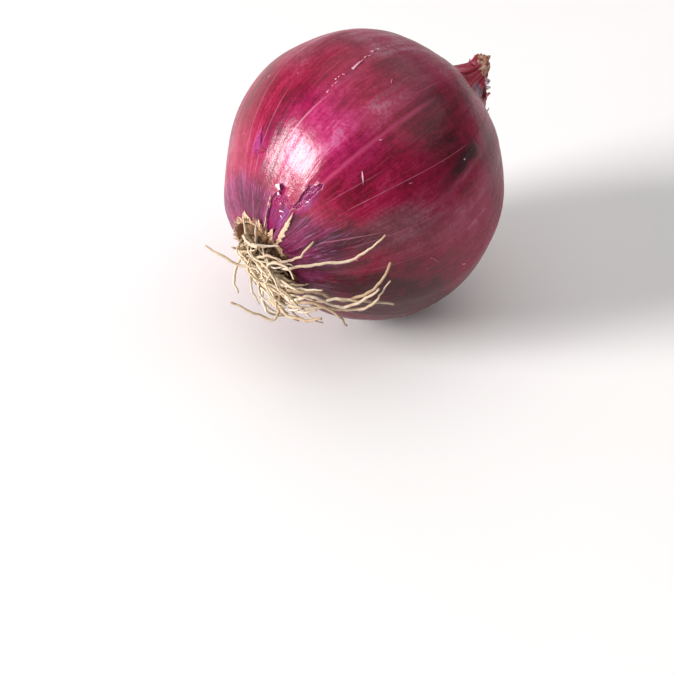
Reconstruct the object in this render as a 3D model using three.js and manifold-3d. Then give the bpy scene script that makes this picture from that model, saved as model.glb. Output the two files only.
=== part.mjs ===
// A red onion, as pulled and dried: the bulb lying on its side with its neck raised a little,
// the tuft of dried roots on its root plate, and the dry skins torn round both ends.
// Millimetres, +Z up. The origin is the middle of the small flat spot that it rests on, and +X
// runs along the bulb from the roots to the neck, as seen from above.
// Each shape is made about the bulb's own axis: local +Z is the neck end, local +X the underside.
import * as THREE from 'three';
import { mergeVertices } from 'three/addons/utils/BufferGeometryUtils.js';
import Module from 'manifold-3d';

const wasm = await Module();
wasm.setup();

// How the bulb lies
const neckRise = 16;
const centreHeight = 39.25;
const centreForward = -0.8;

// Bulb, as radius and height along its axis from its widest ring
const bulbRadius = 40;
const rootEdge = { radius: 10.6, height: -36.1 };
const shoulder = { radius: 15.5, height: 34.5 };
const neckBase = { radius: 5.2, height: 45 };
const neckTip = { radius: 6.3, height: 51 };
const rootPocket = { radius: 9.9, floor: -33, lip: -35.7 };
const neckPocket = { radius: 3.7, floor: 38.5, straight: 44, waist: 47, waistRadius: 3.9, mouth: 5.3 };
const bulbSides = 64;

// Soft ribs of the bulb, its slight ovalness, and the pleats of its neck
const ovals = [
  { waves: 2, share: 0.008, turn: 35 },
  { waves: 3, share: 0.005, turn: 160 },
];
const ribs = [
  { waves: 9, height: 0.16, turn: 63 },
  { waves: 14, height: 0.1, turn: 23 },
  { waves: 23, height: 0.07, turn: 115 },
];
const pleats = { count: 7, height: 0.28, turn: 20, from: 34, full: 43 };

// The bulb grew askew: its widest ring rises on one side, and the neck leans to that side
const skew = { side: 132, rise: 0.03 };
const neckLean = { distance: 1.4, side: 132, from: 28, full: 46 };

// The rim of the neck is torn off, and higher on one side
const neckRim = { middle: 45.7, slope: 4.2, side: 158, rag: 0.45, sides: 60 };

// Tear in the outer skin beside the roots: its outline in mm across from one meridian,
// and in mm up the bulb from the middle of the root end
const tearMeridian = 204;
const tearDepth = 0.6;
const plugReach = 3;
const tearOutline = [
  [1, 12.7], [1.6, 15.5], [2.3, 21], [2, 24.2], [3.6, 25.8], [4.8, 28.5], [5, 31.8],
  [5.5, 34.6], [5.1, 36], [3.7, 33.7], [2.4, 33], [2.3, 30.2], [2.4, 27], [2.2, 25.2],
  [1.3, 24.8], [0, 25.5], [-1.8, 25.8], [-2.3, 27.5], [-3.4, 27.5], [-3.6, 25.3], [-4.3, 23],
  [-3.5, 19], [-2.5, 16], [-0.5, 12],
];

// Dry skins: clear of what they lie on by the gap, and as thick as a blade
const skinGap = 0.35;
const skinThickness = 0.6;
const rootCollar = { reach: 2.2, rag: 0.8, sides: 96 };
const tongues = [
  { side: 213, halfWidth: 8, length: 10.5 },
  { side: 156, halfWidth: 17, length: 1.8 },
  { side: 190, halfWidth: 6, length: 4.5 },
  { side: 318, halfWidth: 9, length: 2.6 },
  { side: 62, halfWidth: 12, length: 2.2 },
];

// Dried inner leaf bases in the mouth of the neck
const leafBases = { radius: 3.35, floor: 38.8, top: 43.4, slope: 2.2, dip: 1.3, sides: 36 };

// Root plate and roots
const rootPlate = { radius: 9.5, floor: -33.3, edge: -35.8, crown: -37.8, sides: 28 };
const rootEndDepth = 37.6;
const rootCount = 30;
const rootThickness = 1.1;
const rootSides = 3;
const goldenTurn = 2.39996;

// The tuft: the side that it bends to, and the least and most of what differs between its roots
const tuft = {
  seed: 7,
  side: 285,
  spread: 40,
  bend: [2.2, 5.5],
  length: [10, 25],
  curl: [0.15, 0.6],
  waves: [0.6, 1.8],
  clear: 2.1,
  stops: 8,
};

// The longest roots, as points that they pass
const longRoots = [
  [[-2, -4, -37], [-1, -2, -41], [-2, 1.5, -44], [-4.5, 5.5, -46], [-7, 9.5, -47.5]],
  [[-3, -6, -37], [-6, -13, -39], [-8, -18, -36.5], [-9.5, -23, -33], [-10.5, -28, -29.5],
    [-13.5, -32.5, -26], [-19.5, -37.5, -21.5]],
  [[-1, -4, -37], [-4, -6, -41], [-7, -10, -40], [-9, -14.5, -38], [-11.5, -18, -36], [-17, -22, -33]],
  [[3, -6, -37], [1, -14, -40], [0, -21, -36.5], [3.5, -25, -33], [1.5, -30.5, -29.5],
    [-4.5, -36, -26], [-13, -40, -23.5]],
  [[5, -5, -37], [4, -14, -41], [1, -21, -37.5], [5, -26.5, -33.5], [1, -32.5, -29], [-4, -37, -27]],
  [[6, -3, -37], [8, -12, -40.5], [6, -22, -36], [7, -27, -32], [4, -33, -28.5], [-7, -39.5, -25]],
  [[6, -5, -37], [5, -17, -39], [2, -26, -33.5], [3.5, -32, -28.5], [4.5, -37, -24]],
  [[6, 2, -36.5], [9, -5, -42], [8.5, -11, -43.5], [9.5, -11.5, -46], [8, -8.5, -48], [6, -5, -50],
    [4, -2, -51.5]],
  [[5, -6, -37], [8, -12, -43], [9, -18, -41.5], [6.5, -24, -39]],
  [[4, -7, -37], [4, -15, -41], [3, -21, -38], [6, -27, -35.5], [9, -29.5, -35]],
  [[-3, 2, -37], [-4, 3, -40.5], [-5.5, 4.5, -42.5]],
];

const radians = THREE.MathUtils.degToRad;

// A repeatable run of numbers from 0 to 1
function seededRandom(seed) {
  let state = seed;
  return () => {
    state = (Math.imul(state, 1664525) + 1013904223) >>> 0;
    return state / 4294967296;
  };
}

// Side view of the bulb's outside, from the edge of the root pocket to the tip of the neck
function outsideCurve() {
  const at = (radius, height) => new THREE.Vector2(radius, height);
  const edge = at(rootEdge.radius, rootEdge.height);
  const widest = at(bulbRadius, 0);
  const high = at(shoulder.radius, shoulder.height);
  const waist = at(neckBase.radius, neckBase.height);
  const tip = at(neckTip.radius, neckTip.height);
  const curve = new THREE.CurvePath();
  curve.add(new THREE.CubicBezierCurve(edge, at(25.6, -31.9), at(bulbRadius, -18.6), widest));
  curve.add(new THREE.CubicBezierCurve(widest, at(bulbRadius, 16), at(29, 29.2), high));
  curve.add(new THREE.CubicBezierCurve(high, at(11, 36.2), at(6.6, 41), waist));
  curve.add(new THREE.CubicBezierCurve(waist, at(4.6, 46.6), at(4.9, 48.8), tip));
  return curve;
}

const outside = outsideCurve();
const outsideLength = outside.getLength();
const rootEdgeReach = 10.7;

function ease(value, from, full) {
  return THREE.MathUtils.smoothstep(value, from, full);
}

// How far the ribs, the oval and the pleats stand out at one place on the bulb
function relief(side, radius, height) {
  const turn = radians(side);
  const body = ease(radius, 13, 26);
  let out = 0;
  for (const oval of ovals) {
    out += radius * oval.share * body * Math.cos(oval.waves * turn - radians(oval.turn));
  }
  for (const rib of ribs) {
    out += rib.height * body * Math.cos(rib.waves * turn - radians(rib.turn));
  }
  const pleated = ease(height, pleats.from, pleats.full);
  return out + pleats.height * pleated * Math.cos(pleats.count * turn - radians(pleats.turn));
}

// A point at one radius and height, on one side in degrees, with the skew and the neck's lean
function place(side, radius, height) {
  const lean = neckLean.distance * ease(height, neckLean.from, neckLean.full);
  const turn = radians(side);
  const leanTurn = radians(neckLean.side);
  const x = radius * Math.cos(turn) + lean * Math.cos(leanTurn);
  const y = radius * Math.sin(turn) + lean * Math.sin(leanTurn);
  const rise = skew.rise * radius * Math.cos(turn - radians(skew.side));
  return new THREE.Vector3(x, y, height + rise);
}

// A point over the bulb's outside: reach is the way along the skin from the middle of the root end
function overSkin(side, reach, lift) {
  const share = THREE.MathUtils.clamp((reach - rootEdgeReach) / outsideLength, 0, 1);
  const point = outside.getPointAt(share);
  const along = outside.getTangentAt(share);
  const radius = point.x + relief(side, point.x, point.y) + along.y * lift;
  return place(side, radius, point.y - along.x * lift);
}

// A closed solid from a geometry, with its faces turned out
function solidFrom(geometry) {
  const bare = geometry.clone();
  bare.deleteAttribute('normal');
  bare.deleteAttribute('uv');
  const merged = mergeVertices(bare, 1e-4);
  const vertProperties = new Float32Array(merged.attributes.position.array);
  const triVerts = new Uint32Array(merged.index.array);
  const facing = new wasm.Manifold(new wasm.Mesh({ numProp: 3, vertProperties, triVerts }));
  if (facing.volume() > 0) {
    return facing;
  }
  const turned = triVerts.slice();
  for (let corner = 0; corner < turned.length; corner += 3) {
    turned[corner + 1] = triVerts[corner + 2];
    turned[corner + 2] = triVerts[corner + 1];
  }
  return new wasm.Manifold(new wasm.Mesh({ numProp: 3, vertProperties, triVerts: turned }));
}

// The outer shell of a joined solid, so that a hollow closed off inside it is filled
function outerShell(solid) {
  const shells = solid.decompose();
  return shells.reduce((best, shell) => (shell.volume() > best.volume() ? shell : best));
}

function geometryFrom(solid) {
  const mesh = solid.getMesh();
  const geometry = new THREE.BufferGeometry();
  geometry.setAttribute('position', new THREE.BufferAttribute(mesh.vertProperties, 3));
  geometry.setIndex(new THREE.BufferAttribute(mesh.triVerts, 1));
  geometry.computeVertexNormals();
  return geometry;
}

// A lathe about the bulb's axis, whose rows are then put in place one by one.
// putPoint(side, row) gives the place of a row on one side, in degrees.
function turned(rowCount, sides, closes, putPoint) {
  const rows = [];
  for (let row = 0; row < rowCount; row += 1) {
    const onAxis = !closes && (row === 0 || row === rowCount - 1);
    rows.push(new THREE.Vector2(onAxis ? 0 : 1, row));
  }
  if (closes) {
    rows.push(rows[0].clone());
  }
  const geometry = new THREE.LatheGeometry(rows, sides);
  const position = geometry.attributes.position;
  for (let turn = 0; turn <= sides; turn += 1) {
    const side = (360 * (turn % sides)) / sides;
    for (let row = 0; row < rows.length; row += 1) {
      const point = putPoint(side, row % rowCount);
      position.setXYZ(turn * rows.length + row, point.x, point.y, point.z);
    }
  }
  return solidFrom(geometry);
}

// The bulb's side view as rows of radius and height; those on the outside get the relief
function bulbRows() {
  const rows = [
    { radius: 0, height: rootPocket.floor },
    { radius: rootPocket.radius, height: rootPocket.floor },
    { radius: rootPocket.radius, height: rootPocket.lip },
  ];
  const stretchSteps = [12, 11, 5, 4];
  outside.curves.forEach((curve, index) => {
    for (let step = index === 0 ? 0 : 1; step <= stretchSteps[index]; step += 1) {
      const point = curve.getPoint(step / stretchSteps[index]);
      rows.push({ radius: point.x, height: point.y });
    }
  });
  rows.push({ radius: neckPocket.mouth, height: neckTip.height });
  rows.push({ radius: neckPocket.waistRadius, height: neckPocket.waist });
  rows.push({ radius: neckPocket.radius, height: neckPocket.straight });
  rows.push({ radius: neckPocket.radius, height: neckPocket.floor });
  rows.push({ radius: 0, height: neckPocket.floor });
  return rows;
}

// The bulb, or its inner scale when sunk below the outer skin
function bulbBody(sink) {
  const rows = bulbRows();
  return turned(rows.length, bulbSides, false, (side, row) => {
    const { radius, height } = rows[row];
    if (radius === 0) {
      return place(side, 0, height);
    }
    const shrink = 1 - sink / bulbRadius;
    return place(side, (radius + relief(side, radius, height)) * shrink, height * shrink);
  });
}

// Height of the torn rim of the neck on one side
function rimHeight(side) {
  const turn = radians(side);
  const slope = neckRim.slope * Math.cos(turn - radians(neckRim.side));
  const rag = Math.cos(5 * turn + 0.6) + 0.8 * Math.cos(11 * turn + 2) + 0.6 * Math.cos(17 * turn);
  return neckRim.middle + slope + neckRim.rag * rag;
}

// All that is torn off above the rim of the neck
function tornOff() {
  const above = neckTip.height + 4;
  const inner = 1.2;
  const outer = 16;
  return turned(5, neckRim.sides, false, (side, row) => {
    const torn = rimHeight(side);
    const radius = [0, inner, outer, outer, 0][row];
    const height = [neckRim.middle, torn, torn, above, above][row];
    return place(side, radius, height);
  });
}

// A plug through the outer skin, with the outline of the tear
function tearPlug() {
  const outline = tearOutline.map(([across, up]) => new THREE.Vector2(across, up));
  const count = outline.length;
  const corners = [];
  for (const lift of [-plugReach, plugReach]) {
    for (const { x: across, y: up } of outline) {
      const radius = overSkin(tearMeridian, up, 0).setZ(0).length();
      const side = tearMeridian + THREE.MathUtils.radToDeg(across / radius);
      corners.push(overSkin(side, up, lift));
    }
  }
  const faces = [];
  for (const [a, b, c] of THREE.ShapeUtils.triangulateShape(outline, [])) {
    faces.push(a, b, c, count + c, count + b, count + a);
  }
  for (let corner = 0; corner < count; corner += 1) {
    const next = (corner + 1) % count;
    faces.push(next, corner, count + corner, next, count + corner, count + next);
  }
  const geometry = new THREE.BufferGeometry().setFromPoints(corners);
  geometry.setIndex(faces);
  return solidFrom(geometry);
}

// Everything under the surface that the onion rests on, seen from the bulb
function groundUnder(lay) {
  const depth = 30;
  const ground = new THREE.BoxGeometry(160, 160, depth);
  ground.translate(0, 0, -depth / 2);
  ground.applyMatrix4(lay.clone().invert());
  return solidFrom(ground);
}

function bulbSolid(lay) {
  const recess = tearPlug().subtract(bulbBody(tearDepth));
  const whole = bulbBody(0).subtract(recess).subtract(tornOff());
  return whole.subtract(groundUnder(lay));
}

// A band of dry skin round the axis, from one way along the skin to another
function skinBand(sides, steps, reachFrom, reachTo) {
  return turned(2 * (steps + 1), sides, true, (side, row) => {
    const under = row <= steps;
    const share = under ? row / steps : (2 * steps + 1 - row) / steps;
    const reach = THREE.MathUtils.lerp(reachFrom(side), reachTo(side), share);
    return overSkin(side, reach, under ? skinGap : skinGap + skinThickness);
  });
}

// Dry skin round the root plate, with ragged tongues running up the bulb
function rootCollarSolid() {
  const outer = (side) => {
    const turn = radians(side);
    const rag = Math.cos(13 * turn) + 0.7 * Math.cos(21 * turn + 1) + 0.5 * Math.cos(34 * turn + 2);
    let reach = rootEdgeReach + rootCollar.reach + rootCollar.rag * 0.5 * rag;
    for (const tongue of tongues) {
      const off = Math.min(1, Math.abs(side - tongue.side) / tongue.halfWidth);
      reach += tongue.length * (1 - off);
    }
    return reach;
  };
  return skinBand(rootCollar.sides, 3, () => rootEdgeReach, outer);
}

// Dried leaf bases, folded together in the neck: rings of ragged tips that fall to the middle
function leafBasesSolid() {
  const { radius, floor, top, slope, dip, sides } = leafBases;
  const rings = [radius, radius * 0.72, radius * 0.55, radius * 0.3];
  const falls = [0, 0.1, dip, 0.5];
  return turned(7, sides, false, (side, row) => {
    const turn = radians(side);
    if (row === 0) {
      return place(side, 0, floor);
    }
    if (row === 6) {
      return place(side, 0, top - dip);
    }
    const ring = Math.max(0, row - 2);
    const fold = 1 - 0.07 * (1 + Math.cos(5 * turn + ring));
    if (row === 1) {
      return place(side, rings[0] * fold, floor);
    }
    const rag = 0.5 * Math.cos(4 * turn + 2 * ring) + 0.35 * Math.cos(9 * turn + ring);
    const height = top + slope * Math.cos(turn - radians(neckRim.side)) + rag - falls[ring];
    return place(side, rings[ring] * fold, height);
  });
}

// The corky plate that the roots grow from
function rootPlateSolid() {
  const { radius, floor, edge, crown } = rootPlate;
  const rows = [[0, floor], [radius, floor], [radius, edge]];
  for (let step = 1; step <= 4; step += 1) {
    const turn = (step / 4) * (Math.PI / 2);
    rows.push([radius * Math.cos(turn), edge + (crown - edge) * Math.sin(turn)]);
  }
  return turned(rows.length, rootPlate.sides, false, (side, row) => {
    const last = row === rows.length - 1;
    return place(side, last ? 0 : rows[row][0], rows[row][1]);
  });
}

// One root: a thin tube through its points
function rootSolid(points) {
  const curve = new THREE.CatmullRomCurve3(points, false, 'centripetal');
  const section = new THREE.Shape();
  for (let corner = 0; corner < rootSides; corner += 1) {
    const turn = (2 * Math.PI * corner) / rootSides;
    const x = (rootThickness / 2) * Math.cos(turn);
    const y = (rootThickness / 2) * Math.sin(turn);
    if (corner === 0) {
      section.moveTo(x, y);
    } else {
      section.lineTo(x, y);
    }
  }
  const steps = Math.max(tuft.stops + 1, points.length * 2);
  return solidFrom(new THREE.ExtrudeGeometry(section, { steps, extrudePath: curve }));
}

// Height of the skin at a radius, on the root end
function skinHeight(radius) {
  const squash = Math.sqrt(Math.max(0.05, 1 - (radius / bulbRadius) ** 2));
  return -rootEndDepth * squash;
}

// The points of one root of the tuft. It leaves the plate, bends over to the tuft's side as it
// grows, curls as it goes, and stays clear of the skin.
function tuftRoot(index, random) {
  const turn = index * goldenTurn;
  const startRadius = (rootPlate.radius - 1.4) * Math.sqrt((index + 0.5) / rootCount);
  const start = [startRadius * Math.cos(turn), startRadius * Math.sin(turn), rootPlate.edge];
  const point = new THREE.Vector3(...start);
  const heading = radians(tuft.side + tuft.spread * (2 * random() - 1));
  const bend = new THREE.Vector3(Math.cos(heading), Math.sin(heading), 0.7 * random());
  bend.multiplyScalar(THREE.MathUtils.lerp(tuft.bend[0], tuft.bend[1], random()));
  const length = THREE.MathUtils.lerp(tuft.length[0], tuft.length[1], random() ** 1.5);
  const curl = THREE.MathUtils.lerp(tuft.curl[0], tuft.curl[1], random());
  const waves = THREE.MathUtils.lerp(tuft.waves[0], tuft.waves[1], random());
  const phases = [random(), random(), random()].map((share) => 2 * Math.PI * share);
  const heads = new THREE.Vector3(Math.cos(turn), Math.sin(turn), -2).normalize();
  const points = [point.clone()];
  for (let stop = 1; stop <= tuft.stops; stop += 1) {
    const swing = (2 * Math.PI * waves * stop) / tuft.stops;
    const [swingX, swingY, swingZ] = phases.map((phase) => curl * Math.cos(phase + swing));
    heads.add(new THREE.Vector3(swingX, swingY, swingZ)).addScaledVector(bend, 1 / tuft.stops);
    heads.normalize();
    point.addScaledVector(heads, length / tuft.stops);
    point.z = Math.min(point.z, skinHeight(Math.hypot(point.x, point.y)) - tuft.clear);
    points.push(point.clone());
  }
  return points;
}

function rootsSolid() {
  const random = seededRandom(tuft.seed);
  let joined = rootPlateSolid();
  for (let index = 0; index < rootCount; index += 1) {
    joined = joined.add(rootSolid(tuftRoot(index, random)));
  }
  for (const route of longRoots) {
    joined = joined.add(rootSolid(route.map(([x, y, z]) => new THREE.Vector3(x, y, z))));
  }
  return outerShell(joined);
}

function redSkin() {
  return new THREE.MeshStandardMaterial({ color: 0x8a1538, roughness: 0.34, metalness: 0 });
}

function dryRoot() {
  return new THREE.MeshStandardMaterial({ color: 0xcdb182, roughness: 0.8, metalness: 0 });
}

function tanSkin() {
  return new THREE.MeshStandardMaterial({ color: 0xb98d62, roughness: 0.6, metalness: 0 });
}

function dryLeaf() {
  return new THREE.MeshStandardMaterial({ color: 0xa9825c, roughness: 0.7, metalness: 0 });
}

function piece(name, solid, material) {
  const mesh = new THREE.Mesh(geometryFrom(solid), material);
  mesh.name = name;
  return mesh;
}

const onion = new THREE.Group();
onion.position.set(centreForward, 0, centreHeight);
onion.rotation.set(0, radians(90 - neckRise), 0);
onion.updateMatrix();

onion.add(piece('bulb', bulbSolid(onion.matrix), redSkin()));
onion.add(piece('roots', rootsSolid(), dryRoot()));
onion.add(piece('root_collar', rootCollarSolid(), tanSkin()));
onion.add(piece('neck_leaves', leafBasesSolid(), dryLeaf()));

export default onion;
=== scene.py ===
import math

import bpy
import numpy as np
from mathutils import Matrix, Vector


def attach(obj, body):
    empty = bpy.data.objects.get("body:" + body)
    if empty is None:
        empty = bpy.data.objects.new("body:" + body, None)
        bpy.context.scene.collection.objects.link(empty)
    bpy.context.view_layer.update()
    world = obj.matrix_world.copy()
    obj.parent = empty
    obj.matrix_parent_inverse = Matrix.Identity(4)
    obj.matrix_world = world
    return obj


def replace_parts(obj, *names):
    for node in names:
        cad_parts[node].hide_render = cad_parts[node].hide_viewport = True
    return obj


# A red onion lying on its side: thin glossy skin with a tear beside the roots, a tuft of
# dried roots and a short torn neck. Shapes are worked out in millimetres round the bulb's
# own axis, by the side (degrees, 0 is underneath, 180 on top) and the reach (along the
# skin from the middle of the root end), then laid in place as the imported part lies.

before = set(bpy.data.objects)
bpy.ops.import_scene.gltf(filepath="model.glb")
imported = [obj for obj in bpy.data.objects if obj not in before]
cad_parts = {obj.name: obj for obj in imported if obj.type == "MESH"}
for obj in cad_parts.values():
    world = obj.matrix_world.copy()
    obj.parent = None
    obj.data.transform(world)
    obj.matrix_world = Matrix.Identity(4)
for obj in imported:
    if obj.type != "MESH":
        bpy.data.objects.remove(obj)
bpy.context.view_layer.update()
print("packed onion loaded:", len(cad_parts), "nodes")

# Form of the bulb

bulb = {
    "middle": (-0.8, 0.0, 39.25),
    "radius": 40,
    "neckRise": 16,        # degrees from level
    "sideView": [          # four curves from the root end to the rim: radius and height
        [(10.6, -36.1), (25.6, -31.9), (40, -18.6), (40, 0)],
        [(40, 0), (40, 16), (29, 29.2), (15.5, 34.5)],
        [(15.5, 34.5), (11, 36.2), (6.6, 41), (5.2, 45)],
        [(5.2, 45), (4.6, 46.6), (4.9, 48.8), (6.3, 51)],
    ],
    "edgeReach": 10.7,      # where the skin starts beside the roots
    "ovals": [(2, 0.008, 35), (3, 0.005, 160)],      # waves round, share of the radius, start
    "ribs": [(9, 0.16, 63), (14, 0.1, 23), (23, 0.07, 115)],      # waves round, height, start
    "pleats": (7, 0.28, 20),
    "skewSide": 132,
    "skewRise": 0.03,
    "neckLean": 1.4,
    "shoulder": (100, 18, 42, 10, 1.8),      # a fuller place: side, reach, half-sizes, rise
}


def ease(value, low, high):
    share = np.clip((value - low) / (high - low), 0, 1)
    return share * share * (3 - 2 * share)


def sideLine():
    t = np.linspace(0, 1, 401)[:, None]
    stretches = []
    for stretch in bulb["sideView"]:
        a, b, c, d = (np.array(p, float) for p in stretch)
        bend = (1 - t) ** 3 * a + 3 * (1 - t) ** 2 * t * b + 3 * (1 - t) * t * t * c + t ** 3 * d
        stretches.append(bend[1:] if stretches else bend)
    line = np.concatenate(stretches)
    steps = np.hypot(*np.diff(line, axis=0).T)
    reach = bulb["edgeReach"] + np.concatenate([[0], np.cumsum(steps)])
    along = np.gradient(line, axis=0)
    along /= np.linalg.norm(along, axis=1)[:, None]
    return reach, line[:, 0], line[:, 1], along[:, 0], along[:, 1]


lineReach, lineRadius, lineHeight, lineOut, lineUp = sideLine()


def relief(side, radius, height):
    turn = np.radians(side)
    body = ease(radius, 13, 26)
    out = 0
    for waves, share, start in bulb["ovals"]:
        out = out + radius * share * body * np.cos(waves * turn - math.radians(start))
    for waves, size, start in bulb["ribs"]:
        out = out + size * body * np.cos(waves * turn - math.radians(start))
    waves, size, start = bulb["pleats"]
    return out + size * ease(height, 34, 43) * np.cos(waves * turn - math.radians(start))


def layDown(x, y, z):      # from the bulb's own axis to where it lies
    tilt = math.radians(90 - bulb["neckRise"])
    cx, cy, cz = bulb["middle"]
    flat = x * math.cos(tilt) + z * math.sin(tilt) + cx
    rise = z * math.cos(tilt) - x * math.sin(tilt) + cz
    return np.stack([flat, y + cy, rise], axis=-1)


def place(side, radius, height):
    turn = np.radians(side)
    leanTurn = math.radians(bulb["skewSide"])
    lean = bulb["neckLean"] * ease(height, 28, 46)
    rise = bulb["skewRise"] * radius * np.cos(turn - leanTurn)
    x = radius * np.cos(turn) + lean * math.cos(leanTurn)
    y = radius * np.sin(turn) + lean * math.sin(leanTurn)
    return layDown(x, y, height + rise)


def overSkin(side, reach, lift=0.0):
    middle, along, wide, long, rise = bulb["shoulder"]
    far = (sideGap(side, middle) / wide) ** 2 + ((reach - along) / long) ** 2
    lift = lift + rise * np.exp(-far)
    radius, height = radiusAt(reach), heightAt(reach)
    out = np.interp(reach, lineReach, lineOut)
    up = np.interp(reach, lineReach, lineUp)
    radius = radius + relief(side, radius, height) + up * lift
    return place(side, radius, height - out * lift)


def radiusAt(reach):
    return np.interp(reach, lineReach, lineRadius)


def heightAt(reach):
    return np.interp(reach, lineReach, lineHeight)


def reachAtHeight(height):
    return np.interp(height, lineHeight, lineReach)


def between(pair, share):
    return pair[0] + (pair[1] - pair[0]) * share


def within(value, pair):
    return pair[0] < value < pair[1]


def sideGap(side, other):      # shortest way round, in degrees
    return (side - other + 180) % 360 - 180


def aroundMark(side, reach, shift=0):      # round and along the bulb, for textures without a seam
    turn = np.radians(side)
    return np.stack([np.cos(turn), np.sin(turn), reach / bulb["radius"] + shift], axis=-1)


def ripples(side, reach, seed, count, turns, waves):
    # soft repeatable unevenness round and along the bulb, about -1 to 1
    rng = np.random.default_rng(seed)
    total = 0
    for _ in range(count):
        turn = rng.integers(turns[0], turns[1] + 1)
        wave = rng.uniform(*waves)
        start = rng.uniform(0, 2 * math.pi)
        total = total + np.cos(turn * np.radians(side) + 2 * math.pi * wave * reach + start)
    return total / math.sqrt(count)


def gridFaces(rows, columns, wraps):
    last = columns if wraps else columns - 1
    row, column = np.meshgrid(np.arange(rows - 1), np.arange(last), indexing="ij")
    beside = (column + 1) % columns
    a = row * columns + column
    b = row * columns + beside
    return np.stack([a, b, b + columns, a + columns], axis=-1).reshape(-1, 4)


def meshPiece(name, points, faces, marks, material, slot):
    # points in millimetres; marks are numbers or vectors kept at each point
    mesh = bpy.data.meshes.new(name)
    mesh.from_pydata((np.asarray(points) * 0.001).tolist(), [], [list(map(int, f)) for f in faces])
    for label, values in marks.items():
        values = np.asarray(values, np.float32)
        kind, field = ("FLOAT_VECTOR", "vector") if values.ndim == 2 else ("FLOAT", "value")
        mesh.attributes.new(label, kind, "POINT").data.foreach_set(field, values.ravel())
    mesh.materials.append(material)
    mesh.polygons.foreach_set("use_smooth", [True] * len(mesh.polygons))
    mesh.update()
    piece = bpy.data.objects.new(name, mesh)
    bpy.context.scene.collection.objects.link(piece)
    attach(piece, "root")
    print(name + ":", len(mesh.polygons), "faces")
    return piece


def joined(parts):
    # parts: points, faces counted from the part's own first point, and marks
    points, faces = [], []
    start = 0
    for spots, quads, _ in parts:
        points.append(spots)
        faces.append(quads + start)
        start += len(spots)
    marks = {label: np.concatenate([part[2][label] for part in parts]) for label in parts[0][2]}
    return np.concatenate(points), np.concatenate(faces), marks


def hexColour(text):      # as typed in a colour picker, to the values that the shader takes
    parts = [int(text[i:i + 2], 16) / 255 for i in (1, 3, 5)]
    return tuple(p / 12.92 if p <= 0.04045 else ((p + 0.055) / 1.055) ** 2.4 for p in parts) + (1.0,)


def addNode(tree, kind, inputs=None, **settings):
    node = tree.nodes.new(kind)
    for key, value in settings.items():
        setattr(node, key, value)
    for key, value in (inputs or {}).items():
        if isinstance(value, bpy.types.NodeSocket):
            tree.links.new(value, node.inputs[key])
        else:
            node.inputs[key].default_value = value
    return node


def mark(tree, name, socket="Fac"):
    return addNode(tree, "ShaderNodeAttribute", attribute_name=name).outputs[socket]


def objectSpace(tree):
    return addNode(tree, "ShaderNodeTexCoord").outputs["Object"]


# These take their node tree from the first socket or node that they are given

def stretch(vector, amounts, shift=(0, 0, 0)):
    inputs = {0: vector, 1: amounts, 2: shift}
    return addNode(vector.id_data, "ShaderNodeVectorMath", inputs, operation="MULTIPLY_ADD").outputs[0]


def noise(vector, scale=1.0, detail=3.0, rough=0.5, twist=0.0):
    inputs = {"Vector": vector, "Scale": scale, "Detail": detail, "Roughness": rough, "Distortion": twist}
    return addNode(vector.id_data, "ShaderNodeTexNoise", inputs).outputs["Fac"]


def remap(value, low, high, toLow=0.0, toHigh=1.0):
    inputs = {0: value, 1: low, 2: high, 3: toLow, 4: toHigh}
    node = addNode(value.id_data, "ShaderNodeMapRange", inputs, interpolation_type="SMOOTHSTEP")
    return node.outputs[0]


def scaled(value, factor, plus=0.0):
    inputs = {0: value, 1: factor, 2: plus}
    return addNode(value.id_data, "ShaderNodeMath", inputs, operation="MULTIPLY_ADD").outputs[0]


def mix(share, first, second):
    tree = share.id_data
    node = addNode(tree, "ShaderNodeMix", data_type="RGBA")
    for key, value in ((0, share), (6, first), (7, second)):
        if isinstance(value, bpy.types.NodeSocket):
            tree.links.new(value, node.inputs[key])
        else:
            node.inputs[key].default_value = hexColour(value) if isinstance(value, str) else value
    return node.outputs[2]


def overlay(colour, *coats):
    # coats: texture or mark, its values where the coat starts and is full, how full, and its tint
    for value, low, high, amount, tint in coats:
        colour = mix(remap(value, low, high, 0, amount), colour, tint)
    return colour


def colourRun(value, stops):
    node = addNode(value.id_data, "ShaderNodeValToRGB", {"Fac": value})
    run = node.color_ramp.elements
    while len(run) < len(stops):
        run.new(0.5)
    for spot, (position, colour) in zip(run, stops):
        spot.position = position
        spot.color = hexColour(colour)
    return node.outputs["Color"]


def bump(height, strength, distance, under=None):
    inputs = {"Strength": strength, "Distance": distance, "Height": height}
    if under is not None:
        inputs["Normal"] = under
    return addNode(height.id_data, "ShaderNodeBump", inputs).outputs["Normal"]


def newFinish(name, **plain):      # plain: values set straight on the shader's own sockets
    material = bpy.data.materials.new(name)
    material.use_nodes = True
    shader = material.node_tree.nodes["Principled BSDF"]
    for socket, value in plain.items():
        shader.inputs[socket.replace("_", " ")].default_value = value
    return material, material.node_tree, shader


def join(shader, **linked):
    for socket, value in linked.items():
        shader.id_data.links.new(value, shader.inputs[socket.replace("_", " ")])


# Finish of the red skin: a run of tone, from dark to pale, for each kind of patch on it

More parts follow.
